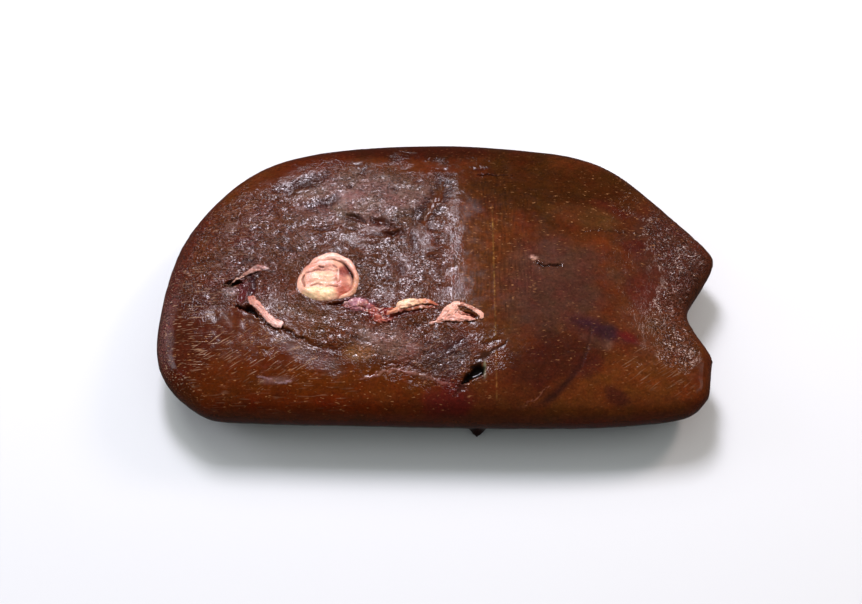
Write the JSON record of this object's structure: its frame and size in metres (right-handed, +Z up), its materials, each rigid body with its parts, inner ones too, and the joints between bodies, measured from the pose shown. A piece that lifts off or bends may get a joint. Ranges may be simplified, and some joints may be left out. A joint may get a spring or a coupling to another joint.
{
  "type": "raw liver",
  "caption": "Thick slab of raw beef liver, cut face up: rounded edges, a notch between lobes at one end, a cut vessel and pale ducts in relief.",
  "frame": {"origin": "middle of the slab's bounding box, on the surface it rests on", "axes": "+X along the length, towards the lobed end with the notch; +Y from the front to the back; +Z up, out of the cut face"},
  "size_m": [0.2998, 0.173, 0.0484],
  "materials": {
    "liver_meat": "wet raw liver, dark red brown with pale pink vessel walls"
  },
  "bodies": {
    "root": {"liver": "liver_meat"}
  },
  "joints": []
}
